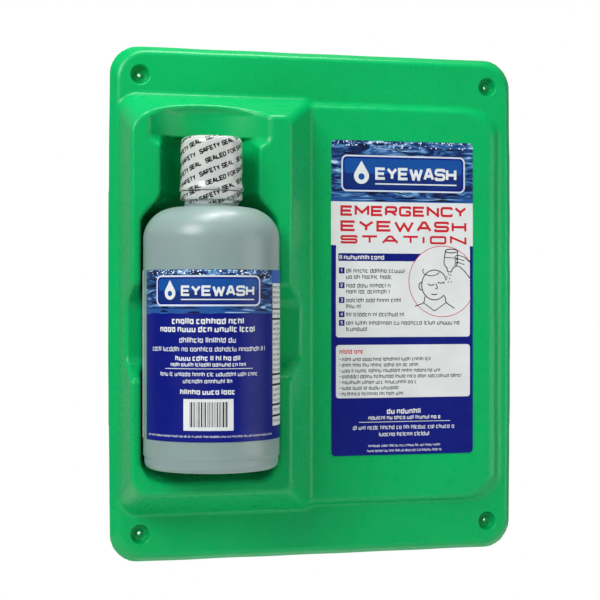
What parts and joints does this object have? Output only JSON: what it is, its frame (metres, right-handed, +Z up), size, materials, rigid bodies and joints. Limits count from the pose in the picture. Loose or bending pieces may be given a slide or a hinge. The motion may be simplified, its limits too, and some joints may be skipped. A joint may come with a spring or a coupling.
{
  "type": "eyewash station",
  "caption": "Wall-mounted eyewash station: a formed plastic tray holding a pull-out bottle of eyewash with a tall screw cap beside an instruction label.",
  "frame": {"origin": "centre of the four screw positions, on the wall plane", "axes": "+Z up along the tray's height, +Y into the wall, so the front faces -Y, +X towards the instruction label"},
  "size_m": [0.29, 0.0929, 0.35],
  "materials": {
    "tray_plastic": "glossy green formed sheet",
    "sign_film": "printed satin film, blue and white with red headings",
    "bottle_plastic": "translucent natural plastic, satin",
    "wrap_film": "printed satin film, dark blue",
    "solution": "clear liquid",
    "spout_plastic": "white moulded plastic",
    "shrink_film": "glossy shrink film with dark print",
    "liner_foam": "soft white foam",
    "cap_plastic": "white moulded plastic"
  },
  "bodies": {
    "tray_body": {"tray": "tray_plastic", "instruction_label": "sign_film"},
    "bottle_body": {"bottle": "bottle_plastic", "bottle_label": "wrap_film", "eyewash_solution": "solution", "spout_insert": "spout_plastic", "tamper_collar": "shrink_film"},
    "liner_body": {"cap_liner": "liner_foam"},
    "cap_body": {"cap": "cap_plastic", "tamper_sleeve": "shrink_film"}
  },
  "joints": [
    {"name": "bottle_pull", "type": "slide", "parent": "tray_body", "child": "bottle_body", "axis": [0, -1, 0], "range_m": [0, 0.12]},
    {"name": "cap_lift", "type": "slide", "parent": "bottle_body", "child": "liner_body", "axis": [0, 0, 1], "range_m": [0, 0.00564]},
    {"name": "cap_twist", "type": "hinge", "parent": "liner_body", "child": "cap_body", "pos_m": [-0.0845, -0.048, 0.09], "axis": [0, 0, 1], "range_deg": [0, 480]}
  ],
  "couplings": [
    {"joint": "cap_twist", "follows": "cap_lift", "rad_per_m": 1484.3}
  ]
}
